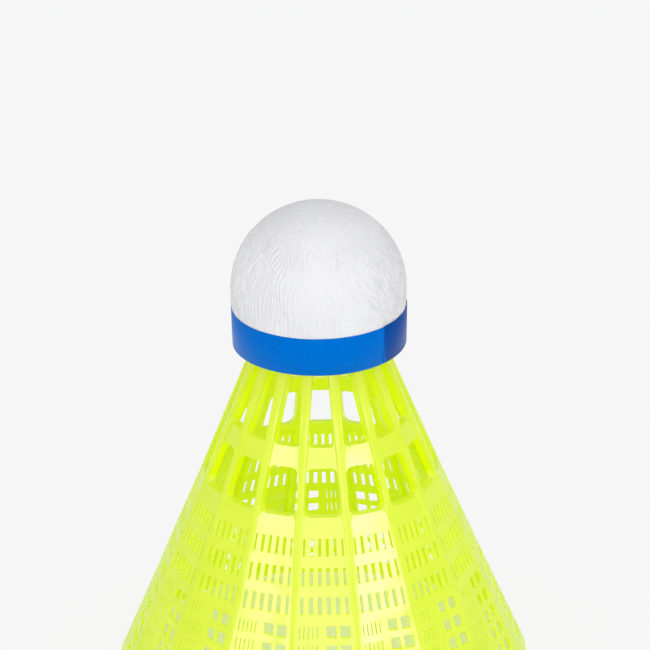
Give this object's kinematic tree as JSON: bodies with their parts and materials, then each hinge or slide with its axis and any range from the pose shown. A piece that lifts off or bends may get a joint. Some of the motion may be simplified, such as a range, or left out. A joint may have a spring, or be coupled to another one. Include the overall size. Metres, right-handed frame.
{
  "type": "badminton shuttlecock",
  "caption": "Nylon badminton shuttlecock: round cork nose with a white cover and a blue rim tape, on a flared moulded skirt of ribs, rings and mesh.",
  "frame": {"origin": "centre of the rim's plane, on the shuttlecock's axis", "axes": "+Z along the axis from the rim to the nose; -Y through the middle of a panel"},
  "size_m": [0.062, 0.062, 0.0744],
  "materials": {
    "cork": "fine-grained natural cork",
    "cover": "satin white skin with fine wrinkles",
    "tape": "satin blue tape",
    "glue": "dried glue",
    "nylon": "translucent fluorescent yellow-green nylon"
  },
  "bodies": {
    "root": {"cork_core": "cork", "cork_cover": "cover", "rim_tape": "tape", "socket_glue": "glue", "skirt": "nylon"}
  },
  "joints": []
}
